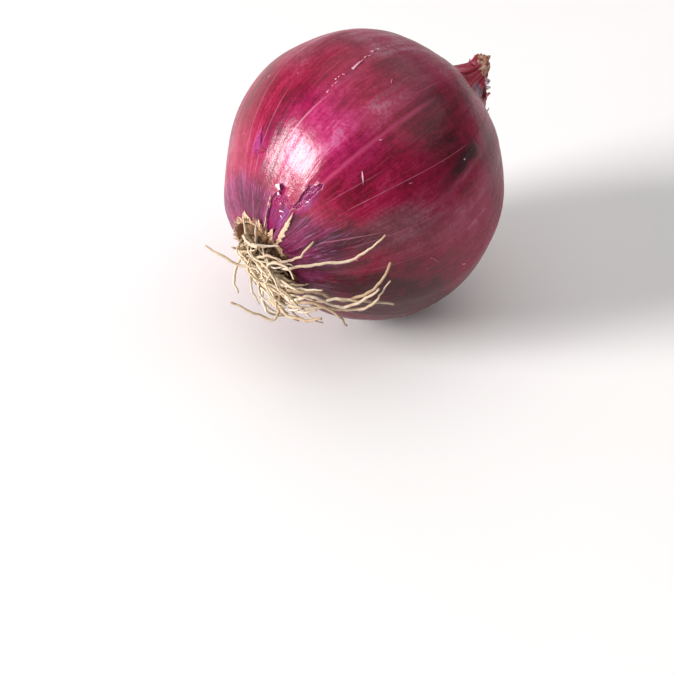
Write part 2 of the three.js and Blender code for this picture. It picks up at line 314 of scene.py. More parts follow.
skinFinish = {
    "crimson": ["#420312", "#6d0724", "#8d0c37", "#a12b51", "#b7768c"],
    "magenta": ["#44031e", "#6d0833", "#940d46", "#b02c66", "#c8709a"],
    "dull": ["#330a14", "#511926", "#6e2c39", "#844453", "#9c7782"],
    "violet": ["#2a0418", "#4c0829", "#6c1042", "#8a3460", "#aa7a98"],
    "stain": ["#44032c", "#6b0744", "#880d5b", "#9a447e", "#b891b3"],
    "neck": ["#44000f", "#780218", "#aa0a34", "#c23a58", "#cc7c8c"],
    "tip": ["#3e0e0c", "#7c3428", "#b07660", "#cd9c84", "#e6cab8"],
    "ash": ["#2e1226", "#5a384c", "#866678", "#ae96a6", "#cfc4cc"],
    "night": "#280410",
    "darkThread": "#44071b",
    "rose": "#bc3c68",
    "blush": "#ce95a7",
    "lavender": "#b070a0",
    "paper": "#9d7351",
    "tornEdge": "#c58a9c",
    "sheen": "#f0d9de",
}

skinTextures = {      # scale round and along the skin, shift, detail, roughness, twist
    "bands": ((3.4, 3.4, 0.6), (4, 1, 2), 3, 0.5, 0.3),
    "ribbons": ((17, 17, 1.4), (0, 0, 0), 4, 0.6, 0.4),
    "fibres": ((58, 58, 8), (3, 8, 1), 4, 0.65, 0.5),
    "threads": ((95, 95, 2.4), (7, 3, 5), 3, 0.55, 0.2),
    "rootThreads": ((46, 46, 5), (2, 9, 4), 4, 0.7, 0.6),
}


def toneRun(value, colours):
    return colourRun(value, list(zip((0.08, 0.3, 0.5, 0.7, 0.95), colours)))


def skinMaterial():
    look = skinFinish
    material, tree, shader = newFinish("redOnionSkin", Specular_IOR_Level=0.05, Coat_Weight=0.29,
                                       Coat_IOR=1.9, Coat_Roughness=0.22, Sheen_Weight=0.055,
                                       Sheen_Roughness=0.35, Sheen_Tint=hexColour(look["sheen"]))
    flat = objectSpace(tree)
    wave = addNode(tree, "ShaderNodeTexNoise", {"Vector": flat, "Scale": 70.0, "Detail": 2.0})
    wave = stretch(wave.outputs["Color"], (0.05, 0.05, 0.3), (-0.025, -0.025, -0.15))
    around = stretch(mark(tree, "around", "Vector"), (1, 1, 1), wave)
    texture = {name: noise(stretch(around, scale, shift), 1, *rest)
               for name, (scale, shift, *rest) in skinTextures.items()}
    ribbons, fibres, threads = texture["ribbons"], texture["fibres"], texture["threads"]
    cloud = noise(flat, 150, 5, 0.65)
    grain = noise(flat, 1100, 4, 0.7)

    # one tone from all the scales of texture, from dark to pale
    tone = scaled(remap(texture["bands"], 0.3, 0.7), 0.22, 0.06)
    for detail, amount in ((ribbons, 0.17), (fibres, 0.08), (cloud, 0.2), (grain, 0.16)):
        tone = scaled(remap(detail, 0.33, 0.67), amount, tone)
    # the pale patches lighten the tone; part of that is painted highlight halo and reflection haze
    tone = scaled(mark(tree, "pale"), 0.34, tone)
    # the deep patches darken the tone; part of that is painted shade, as in the neck's fold valleys
    tone = scaled(mark(tree, "deepAndShade"), -0.34, tone)

    # which run of tone: the edge of each patch is broken up along the fibres
    breaks = scaled(fibres, 0.5, scaled(ribbons, 0.7, -0.6))
    colour = toneRun(tone, look["crimson"])
    # the dull patches near the top are partly painted reflection haze
    for name in ("magenta", "dull", "violet", "stain", "neck", "ash"):
        patch = scaled(mark(tree, name), 1, breaks)
        low = 0.45 if name == "ash" else 0.15
        colour = overlay(colour, (patch, low, 0.8, 0.95, toneRun(tone, look[name])))
    blot = scaled(cloud, 2.2, scaled(breaks, 1, -1.6))
    blot = scaled(grain, 1, scaled(blot, 1, mark(tree, "night")))
    colour = overlay(colour, (blot, 0.2, 0.95, 0.9, look["night"]))

    # pale and dark threads, wider ones beside the roots
    rootEnd = mark(tree, "violet")
    pale = scaled(remap(threads, 0.57, 0.7), remap(rootEnd, 0.5, 0.0, 0.12, 0.05))
    colour = mix(pale, colour, look["blush"])
    wide = scaled(remap(texture["rootThreads"], 0.53, 0.68), remap(rootEnd, 0.1, 0.7, 0, 0.55))
    colour = mix(wide, colour, look["lavender"])
    colour = overlay(colour, (threads, 0.4, 0.28, 0.16, look["darkThread"]))

    # single light veins, by their distance from the point
    gap = addNode(tree, "ShaderNodeMath", {0: mark(tree, "veinGap")}, operation="ABSOLUTE").outputs[0]
    core = remap(scaled(fibres, 1.2, gap), 1.5, 0.55)
    core = scaled(core, mark(tree, "veinGlow"))
    colour = mix(core, colour, mix(mark(tree, "veinPale"), look["rose"], look["blush"]))

    # dry edges: by the roots, at the tear and at the end of the neck
    dry = scaled(remap(noise(flat, 480, 3, 0.6), 0.38, 0.62), 0.65, 0.12)
    dry = toneRun(scaled(remap(fibres, 0.35, 0.65), 0.25, dry), look["tip"])
    colour = overlay(colour, (scaled(mark(tree, "neckTip"), 1, breaks), 0.45, 0.75, 1, dry))
    colour = mix(mark(tree, "paper"), colour, look["paper"])
    colour = mix(scaled(mark(tree, "tornEdge"), 0.25), colour, look["tornEdge"])

    fine = scaled(threads, 0.5, scaled(fibres, 0.6))
    fine = scaled(grain, 0.2, fine)
    dents = bump(cloud, 0.25, 0.0008, bump(fine, 0.3, 0.0003))
    coatDents = bump(cloud, 0.3, 0.0008, bump(fine, 0.22, 0.0002))
    join(shader, Base_Color=colour, Roughness=remap(fibres, 0.3, 0.7, 0.36, 0.5),
         Normal=dents, Coat_Normal=coatDents)
    return material


# The tear in the skin beside the roots, in mm across from one side and mm of reach

tear = {
    "seed": 41,
    "side": 204,
    "outline": [
        (1, 12.7), (1.6, 15.5), (2.3, 21), (2, 24.2), (3.6, 25.8), (4.8, 28.5), (5, 31.8),
        (5.5, 34.6), (5.1, 36), (3.7, 33.7), (2.4, 33), (2.3, 30.2), (2.4, 27), (2.2, 25.2),
        (1.3, 24.8), (0, 25.5), (-1.8, 25.8), (-2.3, 27.5), (-3.4, 27.5), (-3.6, 25.3), (-4.3, 23),
        (-3.5, 19), (-2.5, 16), (-0.5, 12),
    ],
    "raggedStep": 0.45,
    "rag": 0.13,
    "curl": 0.22,          # how far the torn edge lifts
    "curlWide": 0.8,       # and how far back from it the skin lifts along
    "edge": 0.25,          # thickness of the skin at the tear
    "near": (9, 10.75, 39),      # mm across, and reach from and to, that hold the whole tear
}


def raggedLoop():
    rng = np.random.default_rng(tear["seed"])
    corners = np.array(tear["outline"], float)
    loop = []
    for start, end in zip(corners, np.roll(corners, -1, axis=0)):
        length = np.hypot(*(end - start))
        count = max(1, round(length / tear["raggedStep"]))
        across = np.array([-(end - start)[1], (end - start)[0]]) / length
        for step in range(count):
            point = start + (end - start) * step / count
            loop.append(point + across * rng.normal(0, tear["rag"]) * (step > 0))
    return np.array(loop)


tearLoop = raggedLoop()


def acrossTear(side, reach):
    return np.radians(sideGap(side, tear["side"])) * radiusAt(reach)


def tearGap(across, reach):
    # distance to the torn edge, the nearest point on it, and whether the place is torn away
    here = np.stack([across, reach], axis=-1)
    best = np.full(across.shape, 1e9)
    nearest = np.zeros(here.shape)
    inside = np.zeros(across.shape, bool)
    for a, b in zip(tearLoop, np.roll(tearLoop, -1, axis=0)):
        line = b - a
        share = np.clip(((here - a) @ line) / (line @ line), 0, 1)
        spot = a + share[..., None] * line
        gap = np.linalg.norm(here - spot, axis=-1)
        closer = gap < best
        best = np.where(closer, gap, best)
        nearest[closer] = spot[closer]
        crosses = (a[1] > reach) != (b[1] > reach)
        slope = line[0] * (reach - a[1]) / (line[1] if line[1] else 1e-9) + a[0]
        inside ^= crosses & (across < slope)
    return best, nearest, inside


# Rim of the neck, torn lower on the side that faces the camera

neck = {
    "from": 35.5,          # height where the neck starts
    "rim": 45.7,
    "slope": 4.2,
    "slopeSide": 158,
    "rag": 0.24,
    "corners": [(186, 1.0, 16), (148, -0.7, 10), (266, -1.0, 22)],      # side, rise, half-width
    "dryTip": (196, 34, 4.3),      # side, half-width in degrees and depth of the dry end
    "skin": 0.4,           # thickness of its skin
    "inside": 40,          # height that the skin reaches inside
    "folds": [(5, 0.35, 40), (11, 0.28, 160), (17, 0.16, 250), (29, 0.08, 20)],
}


def rimHeight(side):
    turn = np.radians(side)
    rag = np.cos(5 * turn + 0.6) + 0.8 * np.cos(11 * turn + 2) + 0.5 * np.cos(17 * turn)
    fine = 0.08 * np.cos(31 * turn + 1) + 0.06 * np.cos(47 * turn + 4) + 0.04 * np.cos(73 * turn)
    lean = neck["slope"] * np.cos(turn - math.radians(neck["slopeSide"]))
    for middle, rise, wide in neck["corners"]:
        lean = lean + rise * np.exp(-(sideGap(side, middle) / wide) ** 2)
    return neck["rim"] + lean + neck["rag"] * rag + fine


def neckFolds(side, height):
    turn = np.radians(side)
    out = 0
    for waves, size, start in neck["folds"]:
        out = out + size * np.cos(waves * turn - math.radians(start) + 0.12 * (height - 40))
    return out * ease(height, 36, 44)


# Soft patches on the skin: side, reach, half-width and half-length in mm, strength

patches = {
    "magenta": [
        (190, 46, 9, 12, 0.9), (203, 44, 6, 10, 0.6), (178, 33, 7, 10, 0.7), (216, 50, 6, 9, 0.5),
        (225, 38, 8, 8, 0.2), (60, 50, 14, 16, 0.5), (330, 58, 14, 14, 0.3),
    ],
    "violet": [
        (163, 18, 9, 7, 0.8), (190, 17, 6, 7, 0.8), (228, 20, 9, 8, 0.9), (244, 28, 8, 10, 0.6),
        (140, 16, 7, 8, 0.6), (285, 18, 12, 8, 0.6), (345, 18, 12, 8, 0.8), (60, 18, 14, 8, 0.9),
        (100, 17, 10, 8, 0.7), (200, 14, 5, 4, 0.7), (20, 18, 10, 8, 0.7),
    ],
    # greyer skin; the band along the top limb and the patches towards the top (sides 172 to 222, reach 62
    # to 86) are partly painted reflection haze
    "dull": [
        (186, 78, 12, 8, 0.3), (202, 72, 7, 9, 0.35), (205, 62, 5, 6, 0.25), (222, 86, 9, 5, 0.35),
        (246, 46, 5, 9, 0.8), (256, 52, 7, 12, 0.4), (240, 88, 12, 6, 0.3), (262, 82, 10, 8, 0.45),
        (281, 66, 10, 12, 0.3), (164, 62, 8, 12, 0.3), (146, 54, 6, 16, 0.2), (60, 76, 26, 14, 0.6),
        (10, 66, 16, 16, 0.4), (115, 66, 14, 14, 0.4), (246, 37, 5, 8, 0.5), (242, 78, 3.4, 1, 1),
        (172, 72, 14, 5, 0.4), (132, 36, 7, 16, 0.6), (161, 60, 7, 10, 0.3),
    ],
    "stain": [
        (213, 30, 2, 4.2, 1.1), (195.5, 27.5, 1.2, 1.6, 0.8), (169.5, 32.4, 2, 3, 1.1),
        (194, 17, 2.2, 4, 0.7), (206, 19, 3.5, 4, 0.5),
    ],
    "ash": [(236, 113.5, 3, 5, 1), (60, 108, 2.6, 6, 0.6)],
    "night": [
        (241.5, 75.8, 2.4, 2.8, 1.2), (241, 70.5, 2.2, 3.4, 0.8), (242, 65, 2.3, 4, 0.6),
        (244, 60, 2.2, 4, 0.4), (286, 70, 2, 6, 0.25), (250, 60, 2, 3, 0.2),
    ],
    # darker skin, partly painted shade: those on the left limb (sides 130 to 160) and the right limb (side
    # 250, reach 84) hold back light reflected there
    "deepAndShade": [
        (229, 64, 6, 8, 0.35), (226, 76, 8, 8, 0.5), (285, 36, 14, 13, 0.9), (305, 50, 16, 20, 0.8),
        (340, 50, 18, 22, 0.8), (20, 46, 18, 22, 0.7), (262, 26, 8, 8, 0.6), (172, 46, 4, 8, 0.3),
        (250, 68, 6, 7, 0.2), (236, 70, 4, 7, 0.5), (160, 50, 6, 12, 0.3), (180, 62, 5, 7, 0.35),
        (150, 46, 7, 10, 0.6), (160, 20, 9, 7, 0.25), (222, 22, 6, 6, 0.35), (241, 33, 5, 6, 0.75),
        (280, 42, 8, 8, 0.5), (130, 18, 9, 9, 0.2), (250, 84, 6, 7, 0.5), (203, 112, 2.2, 7, 0.4),
    ],
    # lighter skin; those beside the highlight (side 205, reach 43), along the top limb (sides 171 to 198,
    # reach 75 to 86) and on the left limb (sides 131 to 141) are painted highlight halo and painted
    # reflection haze
    "pale": [
        (205, 52, 6, 7, 0.35), (208, 60, 4, 6, 0.5), (171, 75, 11, 6, 0.8), (183, 82, 9, 4, 0.6),
        (198, 86, 8, 4, 0.4), (174, 28, 6, 7, 0.3), (216, 50, 4, 7, 0.1), (131, 26, 6, 9, 0.4),
        (134, 42, 7, 12, 0.35), (163, 58, 6, 9, 0.5), (197, 37, 7, 8, 0.3), (212, 66, 4, 9, 0.3),
        (266, 68, 7, 9, 0.4), (283, 68, 6, 10, 0.7), (250, 56, 6, 8, 0.25), (216, 28, 5, 5, 0.3),
        (90, 46, 14, 15, 0.5), (242, 78.2, 3, 0.5, 0.9), (141, 30, 6, 10, 0.3), (222, 57, 4, 6, 0.05),
        (205, 43, 5, 6, 0.35), (184, 116, 2.2, 5, 0.7),
    ],
}

# Light veins: side and reach of the two ends, half-width of the glow, strength, paleness

veins = [
    (213, 34, 215.5, 74, 1.1, 0.75, 0.05),
    (229.5, 38, 238, 76, 0.2, 0.55, 0.5),
    (221, 34, 225, 50, 0.3, 0.35, 0.4),
    (196, 27, 195, 42, 0.4, 0.6, 0.8),
    (207, 30, 204, 46, 0.35, 0.55, 0.8),
    (185, 36, 188.5, 52, 0.4, 0.7, 0.8),
    (172, 24, 171, 50, 0.3, 0.4, 0.5),
    (246, 30, 252, 62, 0.3, 0.3, 0.3),
    (262, 34, 266, 70, 0.3, 0.25, 0.3),
    (209, 56, 211, 84, 0.4, 0.35, 0.1),
    (160, 28, 158, 55, 0.3, 0.4, 0.4),
    (20, 30, 24, 70, 0.5, 0.35, 0.3),
    (60, 32, 56, 66, 0.4, 0.4, 0.3),
    (95, 30, 97, 62, 0.3, 0.35, 0.3),
    (320, 34, 326, 72, 0.4, 0.35, 0.3),
    (238, 26, 246, 42, 0.3, 0.5, 0.6),
]


def softSpots(spots, side, reach):
    total = np.zeros(np.broadcast(side, reach).shape)
    for middle, along, halfWidth, halfLength, strength in spots:
        across = np.radians(sideGap(side, middle)) * np.maximum(radiusAt(reach), 6)
        far = (across / halfWidth) ** 2 + ((reach - along) / halfLength) ** 2
        total = total + strength * np.exp(-far)
    return np.clip(total, 0, 1.2)


def veinMarks(side, reach):
    nearest = np.full(side.shape, 30.0)
    glow = np.zeros(side.shape)
    pale = np.zeros(side.shape)
    for side0, reach0, side1, reach1, halfWidth, strength, paleness in veins:
        share = np.clip((reach - reach0) / (reach1 - reach0), 0, 1)
        middle = side0 + (side1 - side0) * share
        across = np.radians(sideGap(side, middle)) * radiusAt(reach) / halfWidth
        fade = ease(reach, reach0 - 4, reach0 + 4) * (1 - ease(reach, reach1 - 8, reach1 + 4))
        closer = np.abs(across) < np.abs(nearest)
        glow = np.where(closer, strength * fade, glow)
        pale = np.where(closer, paleness, pale)
        nearest = np.where(closer, across, nearest)
    return {"veinGap": nearest, "veinGlow": glow, "veinPale": pale}


# Skin of the bulb, up over the neck and a little way into it

skin = {
    "sides": 430,
    "fineSides": (190, 218, 0.42),      # from, to and gap: a closer mesh about the tear
    "rowGap": 0.72,
    "fineRows": (11.3, 37.6, 0.33),
    "neckRows": 30,
    "pocket": (-2.4, -0.9, -0.3),      # lift of the rows tucked in under the edge
    "dents": 0.12,
    "ridges": 0.02,
}


def dents(side, reach):
    soft = skin["dents"] * ripples(side, reach, 3, 9, (1, 7), (0.01, 0.05)) * ease(reach, 14, 26)
    return soft + skin["ridges"] * ripples(side, reach, 5, 7, (30, 75), (0.0, 0.02)) * ease(reach, 12, 22)


def skinRows():
    low, high, gap = skin["fineRows"]
    edge, top = bulb["edgeReach"], reachAtHeight(neck["from"])
    fine, even = np.arange(low, high, gap), np.arange(high, top, skin["rowGap"])
    return np.concatenate([[edge, edge + 0.3], fine, even])


def skinGrid():
    # side, reach and lift of the points: tucked under the edge, over the bulb, up the neck and inside
    low, high, gap = skin["fineSides"]
    even = np.arange(0, 360, 360 / skin["sides"])
    sides = np.concatenate([even[even < low], np.arange(low, high, gap), even[even > high + gap / 2]])
    pocket = np.full((len(skin["pocket"]), len(sides)), bulb["edgeReach"])
    body = skinRows()
    rim = reachAtHeight(rimHeight(sides))
    shares = (np.arange(1, skin["neckRows"] + 1) / skin["neckRows"])[:, None]
    neckReach = body[-1] + (rim - body[-1]) * shares
    bottom = reachAtHeight(neck["inside"])
    inside = bottom + (rim - bottom) * np.array([1, 0.9, 0.5, 0])[:, None]
    bodyReach = np.repeat(body[:, None], len(sides), axis=1)
    reach = np.concatenate([pocket, bodyReach, neckReach, inside])
    side = np.repeat(sides[None, :], len(reach), axis=0)
    lift = np.zeros(reach.shape)
    lift[:len(pocket)] = np.array(skin["pocket"])[:, None]
    lift[-len(inside):] = -neck["skin"] * np.array([0.6, 1, 1, 1])[:, None]
    return side, reach, lift


def openTear(side, reach):
    # draws the points of cells that the torn edge crosses onto it, and tells what is torn away
    halfWidth, low, high = tear["near"]
    across = acrossTear(side, reach)
    near = (np.abs(across) < halfWidth) & (reach > low) & (reach < high)
    gaps = np.full(reach.shape, 99.0)
    spot = np.zeros(reach.shape + (2,))
    torn = np.zeros(reach.shape, bool)
    onEdge = np.zeros(reach.shape, bool)
    gaps[near], spot[near], torn[near] = tearGap(across[near], reach[near])
    for first, second in ((np.s_[:-1], np.s_[1:]), (np.s_[:, :-1], np.s_[:, 1:])):
        crossed = torn[first] != torn[second]
        firstNearer = gaps[first] <= gaps[second]
        onEdge[first] |= crossed & firstNearer
        onEdge[second] |= crossed & ~firstNearer
    reach[onEdge] = spot[onEdge][:, 1]
    side[onEdge] = tear["side"] + np.degrees(spot[onEdge][:, 0] / radiusAt(reach[onEdge]))
    gaps[onEdge] = 0
    return gaps, torn & ~onEdge, onEdge


def skinFaces(side, reach, torn, onEdge):
    # whole cells, the far half of cells with one torn corner, and the lines of the torn edge itself
    torn, onEdge = torn.ravel(), onEdge.ravel()
    cells = gridFaces(*side.shape, True)
    away, edge = torn[cells], onEdge[cells]
    kept = cells[~away.any(axis=1)]
    allEdge = onEdge[kept].all(axis=1)
    middles = kept[allEdge]
    midAcross = acrossTear(side, reach).ravel()[middles].mean(axis=1)
    cut = tearGap(midAcross, reach.ravel()[middles].mean(axis=1))[2]
    faces = kept[~allEdge].tolist() + middles[~cut].tolist()
    halved = (away.sum(axis=1) == 1) & (edge.sum(axis=1) == 2)
    for cell, gone in zip(cells[halved].tolist(), away[halved].argmax(axis=1)):
        ring = [cell[(gone + turn) % 4] for turn in (1, 2, 3)]
        if onEdge[ring[0]] and onEdge[ring[2]] and not onEdge[ring[1]]:
            faces.append(ring)
    lines = {}
    for face in faces:
        for a, b in zip(face, face[1:] + face[:1]):
            if onEdge[a] and onEdge[b]:
                key = (min(a, b), max(a, b))
                lines[key] = None if key in lines else (a, b)
    return faces, [pair for pair in lines.values() if pair]


def skinMarks(side, reach, gaps):
    marks = {name: softSpots(spots, side, reach) for name, spots in patches.items()}
    marks.update(veinMarks(side, reach))
    marks["around"] = aroundMark(side, reach)
    dryFrom = 13.2 + 0.9 * ripples(side, 0 * reach, 17, 6, (9, 40), (0, 0))
    rimRag = ease(reachAtHeight(rimHeight(side)) - reach, 2.4, 0.4)
    marks["paper"] = np.clip(0.85 * ease(reach, dryFrom, 10.8) + 0.25 * rimRag, 0, 1)
    marks["tornEdge"] = np.exp(-gaps / 0.2)
    height = heightAt(reach)
    marks["neck"] = 1.3 * ease(height, 33.5, 39)
    middle, wide, depth = neck["dryTip"]
    dry = depth * np.exp(-(sideGap(side, middle) / wide) ** 4)
    marks["neckTip"] = ease(rimHeight(side) - height, dry + 0.9, dry - 0.9)
    # painted shade: darker in the valleys of the neck's folds
    foldShade = ease(-neckFolds(side, height), 0.0, 0.4)
    marks["deepAndShade"] = marks["deepAndShade"] + 0.9 * foldShade * (1 - marks["neckTip"])
    return marks


def makeSkin(finish):
    side, reach, lift = skinGrid()
    gaps, torn, onEdge = openTear(side, reach)
    lift = lift + dents(side, reach)
    curl = 0.55 + 0.45 * ripples(side, reach, 8, 5, (20, 60), (0.05, 0.2))
    lift = lift + tear["curl"] * np.clip(curl, 0, 1.6) * np.exp(-gaps / tear["curlWide"])
    lift = lift + neckFolds(side, heightAt(reach))
    points = overSkin(side, reach, lift)
    points[..., 2] = np.maximum(points[..., 2], 0)      # the flat spot
    faces, lip = skinFaces(side, reach, torn, onEdge)

    # a thin lip runs from the torn edge down to the scale under it
    side, reach, gaps, points = side.ravel(), reach.ravel(), gaps.ravel(), points.reshape(-1, 3)
    lipPoints = sorted({corner for pair in lip for corner in pair})
    below = {corner: len(points) + count for count, corner in enumerate(lipPoints)}
    faces += [[b, a, below[a], below[b]] for a, b in lip]
    points = np.concatenate([points, overSkin(side[lipPoints], reach[lipPoints], -tear["edge"])])
    side = np.concatenate([side, side[lipPoints]])
    reach = np.concatenate([reach, reach[lipPoints]])
    gaps = np.concatenate([gaps, np.zeros(len(lipPoints))])

    used = np.zeros(len(points), bool)
    for face in faces:
        used[face] = True
    number = np.cumsum(used) - 1
    faces = [number[face] for face in faces]
    marks = skinMarks(side[used], reach[used], gaps[used])
    piece = meshPiece("onion_skin", points[used], faces, marks, finish, "bulb_skin")
    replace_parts(piece, "bulb")
    return piece


# The scale that shows through the tear

innerScale = {
    "sides": (189, 220, 0.5),
    "rows": (11.0, 39, 0.4),
    "middle": (204.5, 25),
    "under": 0.22,
    "swell": 0.07,
    # darker magenta spots; the one under the flap's tip (side 207.5, reach 24.2) is a painted shadow
    "deepAndShade": [(195, 24.4, 2.4, 3.6, 1.5), (207.5, 24.2, 2.4, 0.9, 1.3), (216.5, 34.6, 1.4, 2.6, 0.9),
             (212, 27, 1.0, 2.0, 0.6), (199, 15, 2, 3, 0.5)],
}


def innerScaleMaterial():
    material, tree, shader = newFinish("wetInnerScale", Specular_IOR_Level=0.1, Roughness=0.5,
                                       Coat_Weight=0.5, Coat_Roughness=0.05)
    around = mark(tree, "around", "Vector")
    streaks = noise(stretch(around, (60, 60, 2.2)), 1, 4, 0.6, 0.4)
    patchy = noise(stretch(around, (14, 14, 5)), 1, 3, 0.55, 0.5)
    colour = colourRun(patchy, [(0.34, "#5c0838"), (0.5, "#7e0a50"), (0.64, "#7c2a6a"), (0.78, "#a068a4")])
    # the deep spots darken the scale, the one under the flap as painted shadow
    deepAndShade = scaled(patchy, 0.8, scaled(mark(tree, "deepAndShade"), 1, -0.4))
    colour = overlay(colour, (streaks, 0.56, 0.78, 0.4, "#c4a0c8"), (deepAndShade, 0.2, 0.6, 0.92, "#86024a"))
    wrinkles = bump(patchy, 0.6, 0.0014, bump(streaks, 0.45, 0.0004))
    join(shader, Base_Color=colour, Normal=wrinkles, Coat_Normal=wrinkles)
    return material


def makeInnerScale(finish):
    side, reach = np.meshgrid(np.arange(*innerScale["sides"]), np.arange(*innerScale["rows"]))
    swell = innerScale["swell"] * ripples(side, reach, 12, 6, (20, 60), (0.02, 0.12))
    lift = dents(side, reach) - innerScale["under"] + swell
    middle, along = innerScale["middle"]
    dip = np.maximum(np.abs(side - middle) - 12, 0) * 0.25      # its own edge dips away from the skin
    dip = dip + np.maximum(np.abs(reach - along) - 12.5, 0) * 0.4
    points = overSkin(side, reach, lift - dip).reshape(-1, 3)
    marks = {"around": aroundMark(side.ravel(), reach.ravel()),
             "deepAndShade": softSpots(innerScale["deepAndShade"], side.ravel(), reach.ravel())}
    return meshPiece("inner_scale", points, gridFaces(*side.shape, False), marks, finish, "bulb_skin")


# Thin dry sheets: strips of skin that lie on the bulb or stand off it

def wander(rng, count, size):      # an uneven line from about -size to size
    coarse = rng.normal(0, size, max(3, count // 3))
    return np.interp(np.linspace(0, 1, count), np.linspace(0, 1, len(coarse)), coarse)


def strip(rng, side, reach, heading, length, width, rise, cup=0.0, taper=2.0, rag=0.2, bend=0.0,
          low=0.1, thick=0.14, rows=14, columns=7, teeth=(0, 0)):
    # heading 0 runs to the neck and 90 to larger sides; rise is how far its tip stands off;
    # teeth are how many notches one edge has, and how deep
    u = np.linspace(0, 1, rows)[:, None]
    v = np.linspace(-1, 1, columns)[None, :]
    edges = [1 + wander(rng, rows, rag)[:, None] for _ in range(2)]
    edges[1] = edges[1] + teeth[1] * ((u * teeth[0]) % 1)
    half = width / 2 * (1 - u ** taper * 0.92) * np.where(v < 0, edges[0], edges[1])
    along = u * length * (1 + wander(rng, columns, rag * 0.5)[None, :])
    across = v * half + bend * u * u
    turn = math.radians(heading)
    reaches = reach + along * math.cos(turn) - across * math.sin(turn)
    sideways = along * math.sin(turn) + across * math.cos(turn)
    sides = side + np.degrees(sideways / np.maximum(radiusAt(reaches), 5))
    lift = low + rise * u ** 2 + cup * v * v * (0.3 + u) + 0.25 * rag * wander(rng, rows, 1)[:, None] * u
    return overSkin(sides, reaches, lift), overSkin(sides, reaches, lift - thick), u + 0 * v, v + 0 * u


def sheetFaces(rows, columns):
    top = gridFaces(rows, columns, False)
    count = rows * columns
    number = np.arange(count).reshape(rows, columns)
    ids = np.concatenate([number[0], number[1:, -1], number[-1, -2::-1], number[-2:0:-1, 0]])
    after = np.roll(ids, -1)
    rim = np.stack([after, ids, ids + count, after + count], axis=1)
    return np.concatenate([top, top[:, ::-1] + count, rim])


def makeSheets(name, sheets, finish, slot):
    # sheets: strips, each with its tone, joined as one mesh
    parts = []
    for top, bottom, u, v, tone in sheets:
        points = np.concatenate([top.reshape(-1, 3), bottom.reshape(-1, 3)])
        marks = {"along": np.tile(u.ravel(), 2), "across": np.tile(v.ravel(), 2),
                 "tone": np.full(len(points), tone)}
        parts.append((points, sheetFaces(*u.shape), marks))
    return meshPiece(name, *joined(parts), finish, slot)


# Dry skin round the roots

fringe = {
    "seed": 23,
    "count": 110,
    "reach": (9.9, 10.6),
    "turn": 14,      # how far their headings scatter, in degrees
    "length": (0.8, 2.9),
    "width": (0.6, 2.0),
    "rise": (0.1, 0.9),
    "cup": (-0.2, 0.3),
    "bend": 0.3,
    "low": (0.03, 0.3),
    "taper": (1.4, 4),
    "shortSides": (90, 150),
    "short": 0.6,
    "tone": (0.15, 0.75),
    # strips on these sides, at the lower edge right of the tear, take darker tones: painted shade
    "shadedSides": (218, 250),
    "shadedTone": (0.0, 0.45),
    "tan": [      # side, reach, heading, length, width, rise, taper, rag, rows
        (222.5, 10.2, -16, 13.6, 1, 0.5, 5, 0.2, 61),
        (228, 10.2, 6, 3.8, 2.9, 0.7, 2.4, 0.4, 18),
        (209, 10.2, -8, 5.4, 2, 0.4, 3, 0.3, 18),
        (195, 10.4, -3, 7.6, 0.5, 0.5, 5, 0.3, 20),
        (192.4, 19.2, -4, 3.6, 0.8, 0.15, 5, 0.3, 16),
        (188, 10.3, -6, 4.2, 1, 0.9, 4, 0.2, 14),
        (181, 10.3, 4, 3.4, 0.7, 0.8, 3, 0.2, 14),
        (158, 10.1, 2, 3.3, 3.2, 0.15, 5, 0.25, 20),
        (169, 10.1, -3, 2.9, 2.6, 0.25, 4, 0.3, 18),
        (124, 10.1, 4, 1.5, 2.6, 0.15, 5, 0.3, 14),
        (137, 10.1, 0, 1.9, 2.6, 0.2, 4, 0.3, 14),
        (149, 10.1, 5, 2.6, 2.6, 0.2, 5, 0.3, 18),
    ],
    "tanTone": (0.5, 0.8),
    "teeth": (6, 1.1),      # of the first, the long tongue beside the tear
}


def fringeMaterial():
    light, middle, dark = "#e6cbac", "#bf9872", "#5e3a24"
    material, tree, shader = newFinish("dryFringe", Roughness=0.65, Sheen_Weight=0.1)
    along, tone = mark(tree, "along"), mark(tree, "tone")
    strand = {0: scaled(mark(tree, "across"), 3.5), 1: along, 2: scaled(tone, 37.0)}
    strand = addNode(tree, "ShaderNodeCombineXYZ", strand).outputs[0]
    fibres = noise(strand, 2.2, 4, 0.65, 0.3)
    spots = noise(objectSpace(tree), 420, 3, 0.6)
    shade = scaled(fibres, 0.6, scaled(tone, 0.5))
    colour = colourRun(shade, [(0.25, dark), (0.5, middle), (0.75, light)])
    colour = overlay(colour, (spots, 0.55, 0.72, 0.55, dark), (along, 0.25, 0.0, 0.6, dark))
    join(shader, Base_Color=colour, Normal=bump(fibres, 0.6, 0.0003))
    return material


def makeFringe(finish):
    rng = np.random.default_rng(fringe["seed"])

    def pick(name):
        return rng.uniform(*fringe[name])

    sheets = []
    for *shape, taper, rag, rows in fringe["tan"]:
        teeth = (0, 0) if sheets else fringe["teeth"]
        made = strip(rng, *shape, taper=taper, rag=rag, rows=rows, teeth=teeth)
        sheets.append(made + (pick("tanTone"),))
    for _ in range(fringe["count"]):
        side = rng.uniform(0, 360)
        short = fringe["short"] if within(side, fringe["shortSides"]) else 1
        made = strip(rng, side, pick("reach"), rng.normal(0, fringe["turn"]), pick("length") * short,
                     pick("width"), pick("rise"), pick("cup"), bend=rng.normal(0, fringe["bend"]),
                     low=pick("low"), taper=pick("taper"), rag=0.3, rows=10, columns=5)
        # darker tones on the shaded side: painted shade
        tone = "shadedTone" if within(side, fringe["shadedSides"]) else "tone"
        sheets.append(made + (pick(tone),))
    piece = makeSheets("root_fringe", sheets, finish, "dry_collar")
    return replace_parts(piece, "root_collar")


# Chips and flakes of skin by the tear, along the top, and small ones all round

